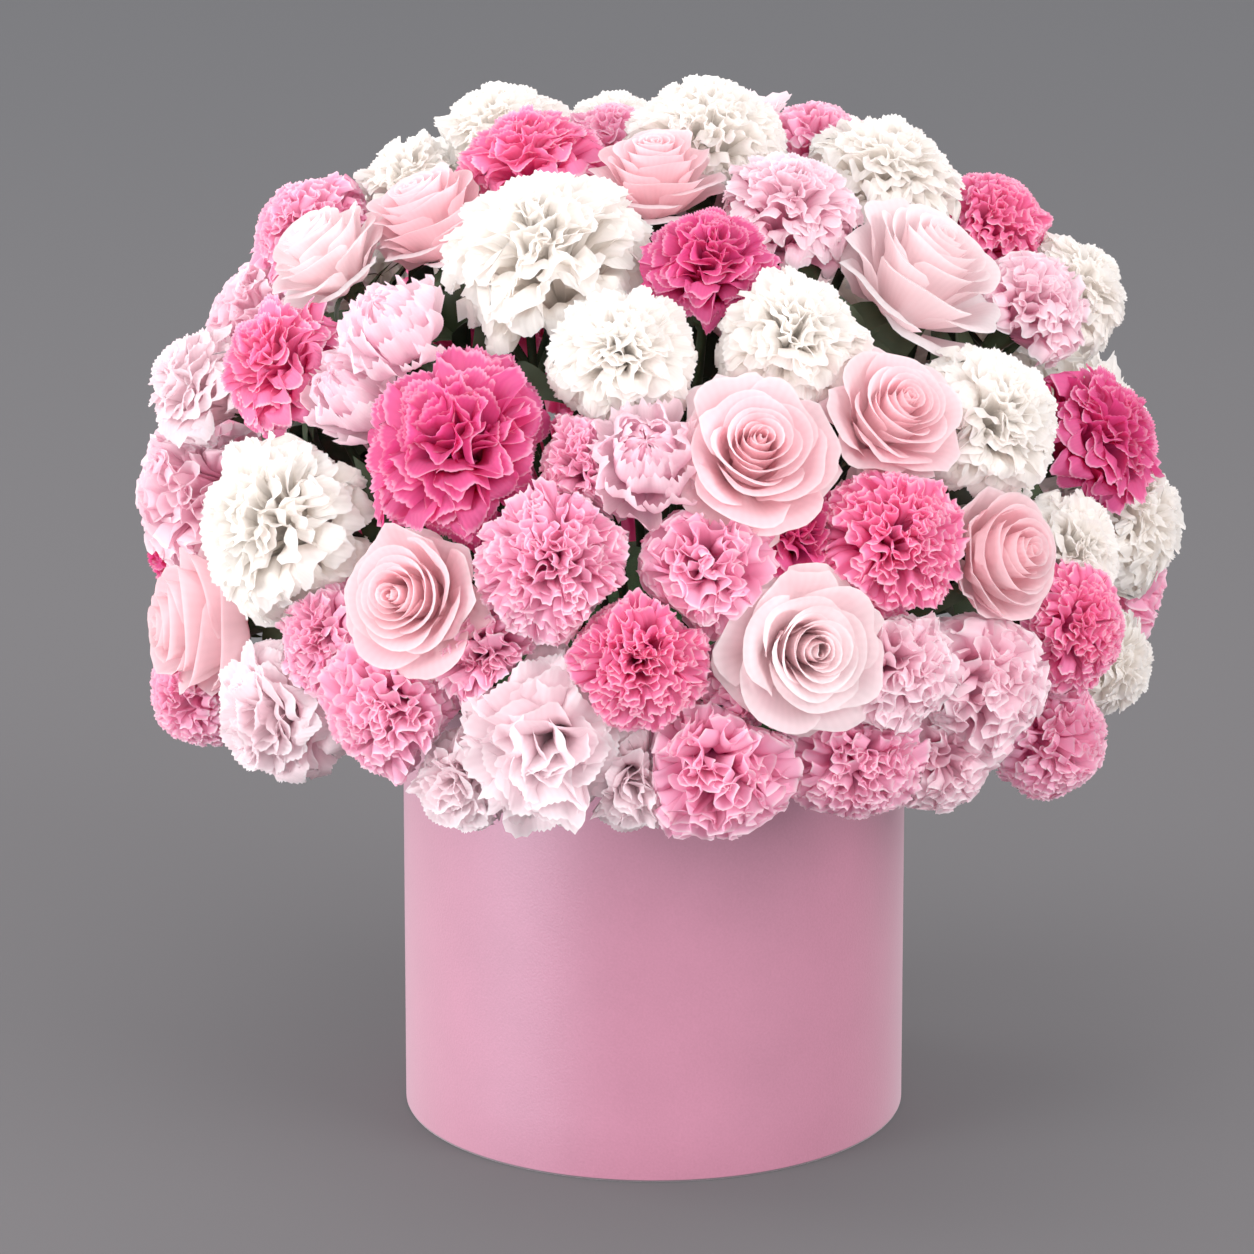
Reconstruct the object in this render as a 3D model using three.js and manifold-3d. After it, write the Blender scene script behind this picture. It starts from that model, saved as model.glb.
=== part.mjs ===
// A flower hat box: a round pink cardboard box filled to a high dome with carnations, roses and peonies.
// Millimetres, +Z up. The origin is the centre of the box's underside, and the front faces -Y.
import * as THREE from 'three';
import { mergeVertices } from 'three/addons/utils/BufferGeometryUtils.js';
import Module from 'manifold-3d';

const wasm = await Module();
wasm.setup();

const rad = THREE.MathUtils.degToRad;
const GAP = 0.3; // between pieces that touch

// The box is a cardboard tube with a round board set flush in its bottom end.
const BOX_DIAMETER = 220;
const BOX_HEIGHT = 200;
const WALL = 2.5;
const BASE_THICKNESS = 3;
const BOX_SIDES = 40;

// A plastic cup keeps the wet foam off the cardboard.
const LINER_WALL = 0.8;
const LINER_HEIGHT = 190;

// The foam fills the liner and stands out of it as a low cap.
const FOAM_SHOULDER = 205;
const FOAM_TOP = 250;
const FOAM_CAP_STEPS = 3;
const FOAM_SIDES = 24;

// The flowers stand in a dome. Its surface is an ellipsoid through the fronts of the blooms.
const DOME_CENTRE_Z = 255;
const DOME_RADIUS = 224;
const DOME_RISE = 197;
const LOWEST_BLOOM_Z = 210;

// A head measured in its own radius, from its centre along its axis.
const HEAD_RISE = 0.85;
const CALYX_DROP = 0.5;
const CALYX_LENGTH = 0.5;
const CALYX_WIDE = 0.2;
const CALYX_NARROW = 0.13;
const STEM_RADIUS = 2.2;
const STEM_SIDES = 4;
const STEM_DEPTH = 22; // in the foam
const HOLE_RADIUS = 2.8; // of a square hole, a little wider than the square stem
const ENTRY_EDGE = 102; // where the lowest blooms' stems enter the foam, from the box's axis
const LOWEST_ANGLE = rad(100); // of those blooms, from the dome's top
const FORK_SHARE = 0.45; // of the way from the foam to a spray's heads
const FORK_RADIUS = 4;
const FACE_OUT = 0.55; // how far a head turns from its stem's line to the dome's own outward line

// Heads press each other flat where they meet.
const CLOSEST = 0.74; // of two heads' radii together, the least distance between their centres
const SETTLING_PASSES = 60;
const FRONT_MOBILITY = 0.12;
const BACK_BLOOM_WIDTHS = [76, 86, 70, 82, 72, 88];
const FILLER_WIDTHS = [56];
const BACK_LATTICE = 700;
const FRONT_EDGE = 0.35; // how far these blooms come round the dome's sides, as a share of facing the view
const BEHIND_THE_TOP = 0.06; // and how far they stay behind its top
const EDGE_STEP = 40; // how far the foremost top blooms stand before the dome's own edge in the view

// The view in which the front blooms' places were read, with its pixels.
const VIEW_ELEVATION = rad(17.15);
const VIEW_DISTANCE = 3400;
const VIEW_AIM = new THREE.Vector3(-11.9, 0, 217);
const VIEW_MIDDLE = 627;
const VIEW_MM_PER_PIXEL = 0.4368;

const COLOURS = {
  box: '#d79ab8',
  board: '#c98fa9',
  liner: '#dfe4e0',
  foam: '#3f6b3c',
  white: '#f6f1e6',
  pale: '#f6dde0',
  light: '#f2bfd3',
  mid: '#e78bb8',
  hot: '#df669f',
  deep: '#d2437f',
  blush: '#f6d3d2',
  salmon: '#f2b0ac',
};

// The blooms that show from the front: kind, colour, centre in the view's pixels, real width in mm.
// sunk pushes a bloom into the dome, and blooms with one spray name share a forked stem.
const FRONT_BLOOMS = [
  { kind: 'carnation', colour: 'white', at: [505, 150], width: 62, sunk: 6, spray: 'a' },
  { kind: 'carnation', colour: 'white', at: [418, 195], width: 54, sunk: 12, spray: 'a' },
  { kind: 'carnation', colour: 'deep', at: [533, 178], width: 64 },
  { kind: 'carnation', colour: 'mid', at: [612, 158], width: 50, sunk: 10 },
  { kind: 'carnation', colour: 'white', at: [705, 150], width: 68 },
  { kind: 'carnation', colour: 'mid', at: [815, 160], width: 54, sunk: 8 },
  { kind: 'carnation', colour: 'white', at: [878, 190], width: 68 },
  { kind: 'carnation', colour: 'mid', at: [318, 240], width: 58, sunk: 4 },
  { kind: 'rose', colour: 'blush', at: [332, 265], width: 50, sunk: -3 },
  { kind: 'rose', colour: 'salmon', at: [435, 232], width: 54, sunk: 7 },
  { kind: 'rose', colour: 'salmon', at: [655, 190], width: 50, sunk: 9 },
  { kind: 'carnation', colour: 'white', at: [550, 272], width: 88, sunk: -3, spray: 'b' },
  { kind: 'carnation', colour: 'white', at: [622, 360], width: 60, spray: 'b' },
  { kind: 'carnation', colour: 'deep', at: [710, 275], width: 58 },
  { kind: 'carnation', colour: 'mid', at: [785, 220], width: 60, sunk: 7 },
  { kind: 'rose', colour: 'blush', at: [912, 287], width: 68, sunk: 4 },
  { kind: 'carnation', colour: 'white', at: [790, 345], width: 62 },
  { kind: 'carnation', colour: 'hot', at: [985, 232], width: 56, sunk: 2 },
  { kind: 'carnation', colour: 'light', at: [1028, 312], width: 52 },
  { kind: 'carnation', colour: 'white', at: [1066, 298], width: 54, sunk: 10 },
  { kind: 'carnation', colour: 'deep', at: [1085, 447], width: 66 },
  { kind: 'carnation', colour: 'white', at: [982, 427], width: 68, sunk: -2 },
  { kind: 'rose', colour: 'salmon', at: [885, 422], width: 54 },
  { kind: 'rose', colour: 'salmon', at: [750, 460], width: 62, sunk: -3 },
  { kind: 'peony', colour: 'light', at: [640, 462], width: 52, sunk: 3 },
  { kind: 'carnation', colour: 'deep', at: [467, 455], width: 82, sunk: -4 },
  { kind: 'peony', colour: 'light', at: [395, 337], width: 50, spray: 'k' },
  { kind: 'carnation', colour: 'deep', at: [290, 370], width: 60 },
  { kind: 'carnation', colour: 'pale', at: [212, 392], width: 58 },
  { kind: 'carnation', colour: 'white', at: [290, 527], width: 80, sunk: -4 },
  { kind: 'rose', colour: 'salmon', at: [214, 622], width: 60 },
  { kind: 'rose', colour: 'salmon', at: [422, 600], width: 56, sunk: -2 },
  { kind: 'carnation', colour: 'mid', at: [558, 560], width: 66, sunk: -2, spray: 'j' },
  { kind: 'carnation', colour: 'mid', at: [708, 568], width: 56, sunk: 5 },
  { kind: 'carnation', colour: 'hot', at: [885, 550], width: 62, spray: 'i' },
  { kind: 'rose', colour: 'salmon', at: [997, 557], width: 50 },
  { kind: 'carnation', colour: 'white', at: [1115, 522], width: 62, spray: 'c' },
  { kind: 'carnation', colour: 'hot', at: [640, 655], width: 59, sunk: -3 },
  { kind: 'rose', colour: 'blush', at: [797, 650], width: 64, sunk: -4 },
  { kind: 'carnation', colour: 'light', at: [888, 662], width: 54, spray: 'd' },
  { kind: 'carnation', colour: 'light', at: [972, 692], width: 62, spray: 'd' },
  { kind: 'carnation', colour: 'hot', at: [1065, 627], width: 54 },
  { kind: 'carnation', colour: 'white', at: [1098, 662], width: 50, sunk: 8, spray: 'c' },
  { kind: 'carnation', colour: 'mid', at: [1045, 738], width: 56 },
  { kind: 'carnation', colour: 'mid', at: [853, 752], width: 60, sunk: 3 },
  { kind: 'carnation', colour: 'mid', at: [715, 752], width: 68, spray: 'g' },
  { kind: 'carnation', colour: 'pale', at: [545, 740], width: 80, spray: 'e' },
  { kind: 'carnation', colour: 'mid', at: [400, 705], width: 64, spray: 'f' },
  { kind: 'carnation', colour: 'pale', at: [290, 712], width: 64 },
  { kind: 'carnation', colour: 'mid', at: [338, 640], width: 50, sunk: 12, spray: 'f' },
  { kind: 'carnation', colour: 'pale', at: [478, 765], width: 54, sunk: 6, spray: 'e' },
  { kind: 'carnation', colour: 'deep', at: [790, 543], width: 50, sunk: 24 },
  { kind: 'carnation', colour: 'mid', at: [206, 690], width: 52, sunk: 5 },
  { kind: 'carnation', colour: 'mid', at: [487, 650], width: 52, sunk: 16, spray: 'f' },
  { kind: 'carnation', colour: 'mid', at: [748, 704], width: 50, sunk: 13, spray: 'g' },
  { kind: 'carnation', colour: 'white', at: [1060, 556], width: 54, sunk: 14, spray: 'c' },
  { kind: 'peony', colour: 'light', at: [366, 396], width: 50, sunk: 15, spray: 'k' },
  { kind: 'carnation', colour: 'hot', at: [854, 598], width: 50, sunk: 16, spray: 'i' },
  { kind: 'carnation', colour: 'mid', at: [592, 470], width: 50, sunk: 15, spray: 'j' },
  { kind: 'carnation', colour: 'pale', at: [628, 768], width: 50, sunk: 10, spray: 'e' },
  { kind: 'carnation', colour: 'light', at: [938, 748], width: 52, sunk: 6, spray: 'd' },
];

// The sides and the back carry the same mix, in sprays of one flower and colour.
const BACK_SPRAYS = [
  { kind: 'carnation', colour: 'white' },
  { kind: 'carnation', colour: 'mid' },
  { kind: 'rose', colour: 'blush' },
  { kind: 'carnation', colour: 'deep' },
  { kind: 'carnation', colour: 'pale' },
  { kind: 'carnation', colour: 'hot' },
  { kind: 'rose', colour: 'salmon' },
  { kind: 'carnation', colour: 'white' },
  { kind: 'carnation', colour: 'light' },
];
const GATHERING_PASSES = 12;

// A head's petals, layer by layer from the outermost to the heart. angle is each layer's turn away
// from the head's axis, reach its tips' distance from the centre, and corners the points on a petal.
const HEAD_LAYERS = {
  carnation: {
    corners: 2,
    valley: 0.66,
    layers: [
      { petals: 6, angle: 112, reach: 1 },
      { petals: 6, angle: 78, reach: 1.04 },
      { petals: 5, angle: 46, reach: 1 },
      { petals: 3, angle: 18, reach: 0.9 },
    ],
  },
  rose: {
    corners: 3,
    valley: 0.72,
    layers: [
      { petals: 5, angle: 108, reach: 1.02 },
      { petals: 4, angle: 70, reach: 0.98 },
      { petals: 3, angle: 39, reach: 0.9 },
      { petals: 2, angle: 14, reach: 0.84 },
    ],
  },
};
HEAD_LAYERS.peony = HEAD_LAYERS.rose;
const NOTCH = 0.86; // how far the gap between two petals reaches, of the petals' own reach
const REACH_VARIES = 0.05;
const ANGLE_VARIES = 4;
const FULLEST_REACH = 1.1;
const MOST_SPREAD = 1.16;
const SPREAD_FADE = 0.4;
const HEART = 0.62; // the heart's own hollow

// A small seeded generator, so that every run gives the same flowers.
function randomSource(seed) {
  let state = seed;
  return () => {
    state = (state + 0x6d2b79f5) | 0;
    let mixed = Math.imul(state ^ (state >>> 15), 1 | state);
    mixed = (mixed + Math.imul(mixed ^ (mixed >>> 7), 61 | mixed)) ^ mixed;
    return ((mixed ^ (mixed >>> 14)) >>> 0) / 4294967296;
  };
}

// The ellipsoid on which heads of one radius have their centres, as its half width and half height.
function shellOf(radius, sunk) {
  const inset = HEAD_RISE * radius + sunk;
  return new THREE.Vector3(DOME_RADIUS - inset, DOME_RADIUS - inset, DOME_RISE - inset);
}

function ontoShell(point, shell) {
  const share = point.clone().setZ(point.z - DOME_CENTRE_Z).divide(shell);
  return share.normalize().multiply(shell).add(new THREE.Vector3(0, 0, DOME_CENTRE_Z));
}

function domeOutward(point) {
  const square = new THREE.Vector3(DOME_RADIUS, DOME_RADIUS, DOME_RISE);
  square.multiply(square);
  return point.clone().setZ(point.z - DOME_CENTRE_Z).divide(square).normalize();
}

const VIEW_UP = new THREE.Vector3(0, Math.sin(VIEW_ELEVATION), Math.cos(VIEW_ELEVATION));
const VIEW_FORWARD = new THREE.Vector3(0, Math.cos(VIEW_ELEVATION), -Math.sin(VIEW_ELEVATION));
const VIEW_EYE = VIEW_AIM.clone().addScaledVector(VIEW_FORWARD, -VIEW_DISTANCE);

// Where the line of sight through a pixel meets the shell. At the dome's top edge, where it only
// passes by, a bloom stands a step before the closest place.
function fromView([across, down], shell, edgeStep) {
  const target = VIEW_AIM.clone();
  target.x += (across - VIEW_MIDDLE) * VIEW_MM_PER_PIXEL;
  target.addScaledVector(VIEW_UP, (VIEW_MIDDLE - down) * VIEW_MM_PER_PIXEL);
  const sight = target.clone().sub(VIEW_EYE).normalize();
  const start = VIEW_EYE.clone().setZ(VIEW_EYE.z - DOME_CENTRE_Z).divide(shell);
  const step = sight.clone().divide(shell);
  const square = step.lengthSq();
  const half = start.dot(step);
  const inside = half * half - square * (start.lengthSq() - 1);
  const closest = VIEW_EYE.clone().addScaledVector(sight, -half / square);
  const toShell = Math.sqrt(Math.max(inside, 0)) / square;
  return closest.addScaledVector(sight, -Math.max(toShell, edgeStep * domeOutward(closest).z));
}

function frontHeads() {
  return FRONT_BLOOMS.map(({ kind, colour, at, width, sunk = 0, spray = null }) => {
    const radius = width / 2;
    const shell = shellOf(radius, sunk);
    const centre = fromView(at, shell, sunk > 0 ? 0 : EDGE_STEP);
    return { kind, colour, radius, shell, centre, home: centre.clone(), front: true, spray };
  });
}

// Fills the rest of the dome: of the free places on a spiral lattice, each new bloom takes the one
// that lies closest to the blooms already there.
function addBackHeads(heads, widths) {
  const golden = Math.PI * (3 - Math.sqrt(5));
  for (let count = 0; ; count += 1) {
    const radius = widths[count % widths.length] / 2;
    const shell = shellOf(radius, 0);
    let best = null;
    for (let i = 0; i < BACK_LATTICE; i += 1) {
      const rise = 1 - (2 * (i + 0.5)) / BACK_LATTICE;
      const ring = Math.sqrt(1 - rise * rise);
      const way = new THREE.Vector3(ring * Math.cos(i * golden), ring * Math.sin(i * golden), rise);
      const centre = way.multiply(shell).add(new THREE.Vector3(0, 0, DOME_CENTRE_Z));
      const facesView = -domeOutward(centre).dot(VIEW_FORWARD);
      const edge = FRONT_EDGE * (centre.x / DOME_RADIUS) ** 2 - BEHIND_THE_TOP;
      if (centre.z < LOWEST_BLOOM_Z || facesView > edge) continue;
      const room = Math.min(...heads.map((other) =>
        other.centre.distanceTo(centre) - CLOSEST * (other.radius + radius)));
      if (room >= 0 && (best === null || room < best.room)) best = { centre, room };
    }
    if (best === null) return;
    heads.push({ kind: 'carnation', radius, shell, centre: best.centre, front: false, spray: null });
  }
}

// Lets heads that stand too close push each other along the dome.
function settle(heads) {
  for (let pass = 0; pass < SETTLING_PASSES; pass += 1) {
    for (const head of heads) {
      const push = new THREE.Vector3();
      for (const other of heads) {
        const apart = head.centre.clone().sub(other.centre);
        const short = CLOSEST * (head.radius + other.radius) - apart.length();
        if (other !== head && short > 0) push.addScaledVector(apart.normalize(), short / 2);
      }
      if (head.front) {
        head.centre.addScaledVector(push, FRONT_MOBILITY).lerp(head.home, FRONT_MOBILITY);
      } else {
        head.centre = ontoShell(head.centre.add(push), head.shell);
        head.centre.z = Math.max(head.centre.z, LOWEST_BLOOM_Z);
      }
    }
  }
}

// Gathers the back blooms into compact sprays: each bloom joins the nearest of a few middles, and
// each middle moves to the mean of its blooms.
function gatherBackSprays(heads) {
  const free = heads.filter((head) => !head.front);
  const middles = [free[0].centre.clone()];
  const nearest = (head) => Math.min(...middles.map((middle) => middle.distanceTo(head.centre)));
  while (middles.length < BACK_SPRAYS.length) {
    const farthest = free.reduce((a, b) => (nearest(b) > nearest(a) ? b : a));
    middles.push(farthest.centre.clone());
  }
  for (let pass = 0; pass < GATHERING_PASSES; pass += 1) {
    for (const head of free) {
      const distances = middles.map((middle) => middle.distanceTo(head.centre));
      head.group = distances.indexOf(Math.min(...distances));
    }
    middles.forEach((middle, group) => {
      const members = free.filter((head) => head.group === group);
      middle.set(0, 0, 0);
      members.forEach((head) => middle.addScaledVector(head.centre, 1 / members.length));
    });
  }
  free.forEach((head) => Object.assign(head, BACK_SPRAYS[head.group], { spray: `back${head.group}` }));
}

function foamHeightAt(distance) {
  const edge = foamRadius();
  const cap = FOAM_TOP - FOAM_SHOULDER;
  const ball = (edge * edge + cap * cap) / (2 * cap);
  return FOAM_TOP - ball + Math.sqrt(ball * ball - distance * distance);
}

function foamRadius() {
  return BOX_DIAMETER / 2 - WALL - LINER_WALL - 2 * GAP;
}

// Where a stem that leads to a point above enters the foam.
function entryFor(point) {
  const aside = Math.hypot(point.x, point.y);
  const angle = Math.atan2(aside / DOME_RADIUS, (point.z - DOME_CENTRE_Z) / DOME_RISE);
  const entry = ENTRY_EDGE * Math.min(1, angle / LOWEST_ANGLE);
  return new THREE.Vector3(point.x, point.y, 0).setLength(entry).setZ(foamHeightAt(entry));
}

// One stem in the foam: from its foot, through its entry, towards a point above.
function stemTo(point) {
  const entry = entryFor(point);
  const way = point.clone().sub(entry).normalize();
  return { entry, way, foot: entry.clone().addScaledVector(way, -STEM_DEPTH), top: point };
}

// A ring of evenly spaced points around an axis, in the order of their angles.
function roundRing(centre, axis, radius, count) {
  const { across, up } = sidesOf(axis);
  return Array.from({ length: count }, (_, i) => {
    const angle = (2 * Math.PI * (i + 0.5)) / count;
    const point = centre.clone();
    point.addScaledVector(across, radius * Math.cos(angle)).addScaledVector(up, radius * Math.sin(angle));
    return { angle, point };
  });
}

function sidesOf(axis) {
  const guide = Math.abs(axis.z) > 0.9 ? new THREE.Vector3(1, 0, 0) : new THREE.Vector3(0, 0, 1);
  const across = guide.clone().cross(axis).normalize();
  return { across, up: axis.clone().cross(across) };
}

// Joins rings of any counts into a closed skin. The first ring is capped flat, and the last one
// closes on a single point, or flat when there is none.
function skinOf(rings, apex) {
  const triangles = [];
  const [first] = rings;
  for (let i = 1; i + 1 < first.length; i += 1) triangles.push(first[0], first[i + 1], first[i]);
  for (let k = 0; k + 1 < rings.length; k += 1) triangles.push(...stitch(rings[k], rings[k + 1]));
  const last = rings[rings.length - 1];
  if (apex) {
    last.forEach((corner, i) => triangles.push(corner, last[(i + 1) % last.length], apex));
  } else {
    for (let i = 1; i + 1 < last.length; i += 1) triangles.push(last[0], last[i], last[i + 1]);
  }
  const positions = triangles.flatMap(({ point }) => point.toArray());
  const geometry = new THREE.BufferGeometry();
  geometry.setAttribute('position', new THREE.Float32BufferAttribute(positions, 3));
  return geometry;
}

function stitch(lower, upper) {
  const triangles = [];
  const angleOf = (ring, i) => ring[i % ring.length].angle + 2 * Math.PI * Math.floor(i / ring.length);
  let i = 0;
  let j = 0;
  while (i < lower.length || j < upper.length) {
    const a = lower[i % lower.length];
    const b = upper[j % upper.length];
    const lowerNext = i < lower.length ? angleOf(lower, i + 1) : Infinity;
    const upperNext = j < upper.length ? angleOf(upper, j + 1) : Infinity;
    if (lowerNext <= upperNext) {
      triangles.push(a, lower[(i + 1) % lower.length], b);
      i += 1;
    } else {
      triangles.push(a, upper[(j + 1) % upper.length], b);
      j += 1;
    }
  }
  return triangles;
}

// The free distance from a head's centre in one direction, up to the planes where neighbours begin.
function roomAlong(head, direction) {
  let room = Infinity;
  for (const { way, plane } of head.neighbours) {
    const facing = direction.dot(way);
    if (facing > 0) room = Math.min(room, plane / facing);
  }
  return room;
}

function findNeighbours(heads) {
  for (const head of heads) {
    head.neighbours = [];
    for (const other of heads) {
      const way = other.centre.clone().sub(head.centre);
      const distance = way.length();
      if (other === head || distance > 1.3 * (head.radius + other.radius)) continue;
      const shift = (head.radius ** 2 - other.radius ** 2) / (2 * distance);
      head.neighbours.push({ way: way.normalize(), plane: distance / 2 + shift - GAP / 2 });
    }
  }
}

// Petals are pressed back by a near neighbour, and spread a little into the space before a farther one.
function spreadFor(room) {
  if (room <= MOST_SPREAD) return room;
  return Math.max(1, MOST_SPREAD - SPREAD_FADE * (room - MOST_SPREAD));
}

// The rings of a head's petal tips and of the valleys between its layers.
function petalRings(head, random) {
  const { corners, valley, layers } = HEAD_LAYERS[head.kind];
  const { across, up } = sidesOf(head.axis);
  const pointAt = (turn, angle, reach) => {
    const out = Math.sin(rad(turn));
    const way = head.axis.clone().multiplyScalar(Math.cos(rad(turn)));
    way.addScaledVector(across, out * Math.cos(angle)).addScaledVector(up, out * Math.sin(angle));
    const room = roomAlong(head, way) / (head.radius * FULLEST_REACH);
    return head.centre.clone().addScaledVector(way, reach * spreadFor(room) * head.radius);
  };
  const varied = (amount) => amount * (2 * random() - 1);
  const rings = [];
  layers.forEach(({ petals, angle: turn, reach }, k) => {
    const start = random() * 0.5;
    const tips = [];
    for (let i = 0; i < petals; i += 1) {
      const petalReach = reach + varied(REACH_VARIES);
      const petalTurn = turn + varied(ANGLE_VARIES);
      for (let corner = 0; corner < corners; corner += 1) {
        const isNotch = corner === corners - 1;
        const angle = (2 * Math.PI * (i + start + corner / corners)) / petals;
        const point = pointAt(petalTurn, angle, petalReach * (isNotch ? NOTCH : 1));
        tips.push({ angle, point });
      }
    }
    rings.push(tips);
    if (k + 1 < layers.length) {
      const between = (turn + layers[k + 1].angle) / 2;
      rings.push(Array.from({ length: petals }, (_, i) => {
        const angle = (2 * Math.PI * (i + 0.5)) / petals;
        return { angle, point: pointAt(between, angle, valley * reach + varied(REACH_VARIES) / 2) };
      }));
    }
  });
  return { rings, apex: { angle: 0, point: pointAt(0, 0, HEART) } };
}

// A head on its stem, in one skin: foot, stem, calyx and petals. The stem starts at a given point.
function headSkin(head, foot, random) {
  const calyxTop = head.centre.clone().addScaledVector(head.axis, -CALYX_DROP * head.radius);
  const calyxFoot = head.calyxFoot;
  const stemWay = calyxFoot.clone().sub(foot).normalize();
  const { rings, apex } = petalRings(head, random);
  const stemRings = [
    roundRing(foot, stemWay, STEM_RADIUS, STEM_SIDES),
    roundRing(calyxFoot.clone().addScaledVector(head.axis, -1.5), head.axis, STEM_RADIUS, STEM_SIDES),
    roundRing(calyxFoot, head.axis, CALYX_NARROW * head.radius, STEM_SIDES),
    roundRing(calyxTop, head.axis, CALYX_WIDE * head.radius, STEM_SIDES),
  ];
  return skinOf([...stemRings, ...rings], apex);
}

function toSolid(geometry) {
  const bare = geometry.clone();
  bare.deleteAttribute('normal');
  bare.deleteAttribute('uv');
  const merged = mergeVertices(bare, 1e-4);
  return new wasm.Manifold(new wasm.Mesh({
    numProp: 3,
    vertProperties: merged.attributes.position.array,
    triVerts: new Uint32Array(merged.index.array),
  }));
}

function toGeometry(solid) {
  const { vertProperties, triVerts } = solid.getMesh();
  const geometry = new THREE.BufferGeometry();
  geometry.setAttribute('position', new THREE.BufferAttribute(vertProperties, 3));
  geometry.setIndex(new THREE.BufferAttribute(triVerts, 1));
  return geometry;
}

function rod(from, to, radius, sides) {
  const way = to.clone().sub(from).normalize();
  return skinOf([roundRing(from, way, radius, sides), roundRing(to, way, radius, sides)], null);
}

// A spray: a main stem from the foam to a swollen knot, and a side stem with a head for each bloom.
function spraySolid(heads, stem, random) {
  const knot = new THREE.OctahedronGeometry(FORK_RADIUS).translate(...stem.top.toArray());
  const mainTop = stem.top.clone().addScaledVector(stem.way, 1);
  let solid = toSolid(rod(stem.foot, mainTop, STEM_RADIUS, STEM_SIDES)).add(toSolid(knot));
  for (const head of heads) solid = solid.add(toSolid(headSkin(head, stem.top, random)));
  return toGeometry(solid);
}

function aimHead(head, lineFrom) {
  const stemLine = head.centre.clone().sub(lineFrom).normalize();
  head.axis = stemLine.lerp(domeOutward(head.centre), FACE_OUT).normalize();
  const drop = (CALYX_DROP + CALYX_LENGTH) * head.radius;
  head.calyxFoot = head.centre.clone().addScaledVector(head.axis, -drop);
}

// Groups the heads into stems: one for each single bloom, and one for each spray.
function plantStems(heads) {
  const groups = new Map();
  heads.forEach((head, i) => {
    const key = head.spray ?? `single${i}`;
    groups.set(key, [...(groups.get(key) ?? []), head]);
  });
  return [...groups.values()].map((members) => {
    const middle = new THREE.Vector3();
    members.forEach((head) => middle.addScaledVector(head.centre, 1 / members.length));
    const entry = entryFor(middle);
    const fork = members.length > 1 ? entry.clone().lerp(middle, FORK_SHARE) : null;
    members.forEach((head) => aimHead(head, fork ?? entry));
    const stem = stemTo(fork ?? members[0].calyxFoot);
    return { members, stem };
  });
}

function material(colour, roughness) {
  return new THREE.MeshStandardMaterial({ color: COLOURS[colour], roughness, metalness: 0 });
}

function lathe(profile, sides) {
  return new THREE.LatheGeometry(profile.map(([r, z]) => new THREE.Vector2(r, z)), sides)
    .rotateX(Math.PI / 2);
}

function boxWall() {
  const outer = BOX_DIAMETER / 2;
  const inner = outer - WALL;
  const profile = [[inner, 0], [outer, 0], [outer, BOX_HEIGHT], [inner, BOX_HEIGHT], [inner, 0]];
  return lathe(profile, BOX_SIDES);
}

function boxBase() {
  const edge = BOX_DIAMETER / 2 - WALL - GAP;
  return lathe([[0, 0], [edge, 0], [edge, BASE_THICKNESS], [0, BASE_THICKNESS]], BOX_SIDES);
}

function liner() {
  const floor = BASE_THICKNESS + GAP;
  const outer = BOX_DIAMETER / 2 - WALL - GAP;
  const inner = outer - LINER_WALL;
  const profile = [
    [0, floor], [outer, floor], [outer, LINER_HEIGHT], [inner, LINER_HEIGHT],
    [inner, floor + LINER_WALL], [0, floor + LINER_WALL],
  ];
  return lathe(profile, BOX_SIDES);
}

function foam(stems) {
  const floor = BASE_THICKNESS + LINER_WALL + 2 * GAP;
  const edge = foamRadius();
  const profile = [[0, floor], [edge, floor]];
  for (let i = 0; i < FOAM_CAP_STEPS; i += 1) {
    const distance = edge * Math.cos((Math.PI / 2) * (i / FOAM_CAP_STEPS));
    profile.push([distance, foamHeightAt(distance)]);
  }
  profile.push([0, FOAM_TOP]);
  let solid = toSolid(lathe(profile, FOAM_SIDES));
  for (const { entry, way, foot } of stems) {
    const bottom = foot.clone().addScaledVector(way, -GAP);
    const mouth = entry.clone().addScaledVector(way, 25);
    solid = solid.subtract(toSolid(rod(bottom, mouth, HOLE_RADIUS, STEM_SIDES)));
  }
  return toGeometry(solid);
}

const box = new THREE.Group();

function addPiece(name, geometry, colour, roughness) {
  const mesh = new THREE.Mesh(geometry, material(colour, roughness));
  mesh.name = name;
  box.add(mesh);
}

const heads = frontHeads();
addBackHeads(heads, BACK_BLOOM_WIDTHS);
addBackHeads(heads, FILLER_WIDTHS);
settle(heads);
gatherBackSprays(heads);
findNeighbours(heads);
const plants = plantStems(heads);

addPiece('box_wall', boxWall(), 'box', 0.85);
addPiece('box_base', boxBase(), 'board', 0.9);
addPiece('liner', liner(), 'liner', 0.4);
addPiece('foam', foam(plants.map(({ stem }) => stem)), 'foam', 0.95);
plants.forEach(({ members, stem }, i) => {
  const random = randomSource(i + 1);
  const [{ kind, colour }] = members;
  const number = String(i + 1).padStart(2, '0');
  if (members.length > 1) {
    const name = `${kind}_${colour}_spray_of_${members.length}_${number}`;
    addPiece(name, spraySolid(members, stem, random), colour, 0.7);
  } else {
    addPiece(`${kind}_${colour}_${number}`, headSkin(members[0], stem.foot, random), colour, 0.7);
  }
});

export default box;
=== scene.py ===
"""A flower hat box: a round pink paper-covered box filled to a high dome with cut flowers.

Metres, +Z up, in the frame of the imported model. The box stands on its underside at the origin.
"""

import math

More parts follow.
